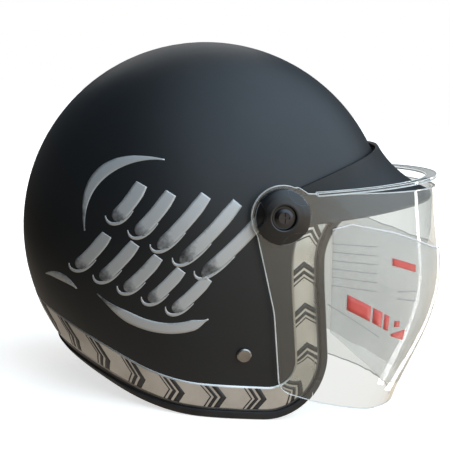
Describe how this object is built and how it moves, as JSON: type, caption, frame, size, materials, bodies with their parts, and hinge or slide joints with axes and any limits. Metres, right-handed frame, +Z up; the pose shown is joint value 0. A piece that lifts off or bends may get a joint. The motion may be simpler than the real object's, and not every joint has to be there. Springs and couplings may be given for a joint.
{
  "type": "open face motorcycle helmet",
  "caption": "Open face motorcycle helmet with a short peak, a clear flip-up bubble visor, foam liner, comfort pads and a ratchet-buckle chin strap.",
  "frame": {"origin": "centre of the whole helmet's box, on the table that the rim stands on", "axes": "+Z up, the face opening looks along -Y, +X is the wearer's left"},
  "size_m": [0.2646, 0.3395, 0.2711],
  "materials": {
    "shell_black": "fine matte black paint",
    "rubber_trim": "soft black rubber",
    "foam": "grey bead foam",
    "lining": "black brushed knit over foam",
    "black_nylon": "moulded black nylon",
    "peak_black": "matte black moulding",
    "visor_clear": "clear hard-coated plastic",
    "zinc_steel": "zinc plated steel",
    "cap_black": "satin black moulding",
    "black_screw": "blackened steel",
    "rivet_dark": "dark nickel plate",
    "webbing": "woven black webbing",
    "buckle_lever": "black coated steel",
    "pull_ribbon": "red woven ribbon"
  },
  "bodies": {
    "helmet": {"outer_shell": "shell_black", "face_edge_trim": "rubber_trim", "neck_edge_trim": "rubber_trim", "impact_liner": "foam", "crown_pad": "lining", "brow_pad": "lining", "rear_head_pad": "lining", "neck_roll": "lining", "cheek_studs": "black_nylon", "peak": "peak_black", "cheek_pad_right": "lining", "cheek_pad_left": "lining", "pivot_insert_right": "zinc_steel", "pivot_insert_left": "zinc_steel", "pivot_spacer_right": "black_nylon", "pivot_spacer_left": "black_nylon", "friction_washer_right": "rubber_trim", "friction_washer_left": "rubber_trim", "pivot_cap_right": "cap_black", "pivot_cap_left": "cap_black", "pivot_screw_right": "black_screw", "pivot_screw_left": "black_screw", "strap_rivet_right": "rivet_dark", "strap_rivet_left": "rivet_dark", "strap_anchor_right": "zinc_steel", "strap_anchor_left": "zinc_steel", "chin_strap_right": "webbing", "chin_strap_left": "webbing", "strap_sleeve_right": "lining", "strap_sleeve_left": "lining", "strap_keeper": "black_nylon", "buckle_frame": "zinc_steel", "buckle_pin": "zinc_steel", "buckle_spring": "zinc_steel", "toothed_tongue": "black_nylon"},
    "visor_body": {"visor": "visor_clear"},
    "lever_body": {"buckle_lever": "buckle_lever", "pull_tab": "pull_ribbon"}
  },
  "joints": [
    {"name": "visor_hinge", "type": "hinge", "parent": "helmet", "child": "visor_body", "pos_m": [0, -0.00943, 0.1515], "axis": [-1, 0, 0], "range_deg": [0, 60]},
    {"name": "lever_hinge", "type": "hinge", "parent": "helmet", "child": "lever_body", "pos_m": [0.008, 0.00551, 0.011], "axis": [0, 1, 0], "range_deg": [0, 40], "stiffness_Nm_per_rad": 0.01, "springref_deg": -17.19}
  ]
}
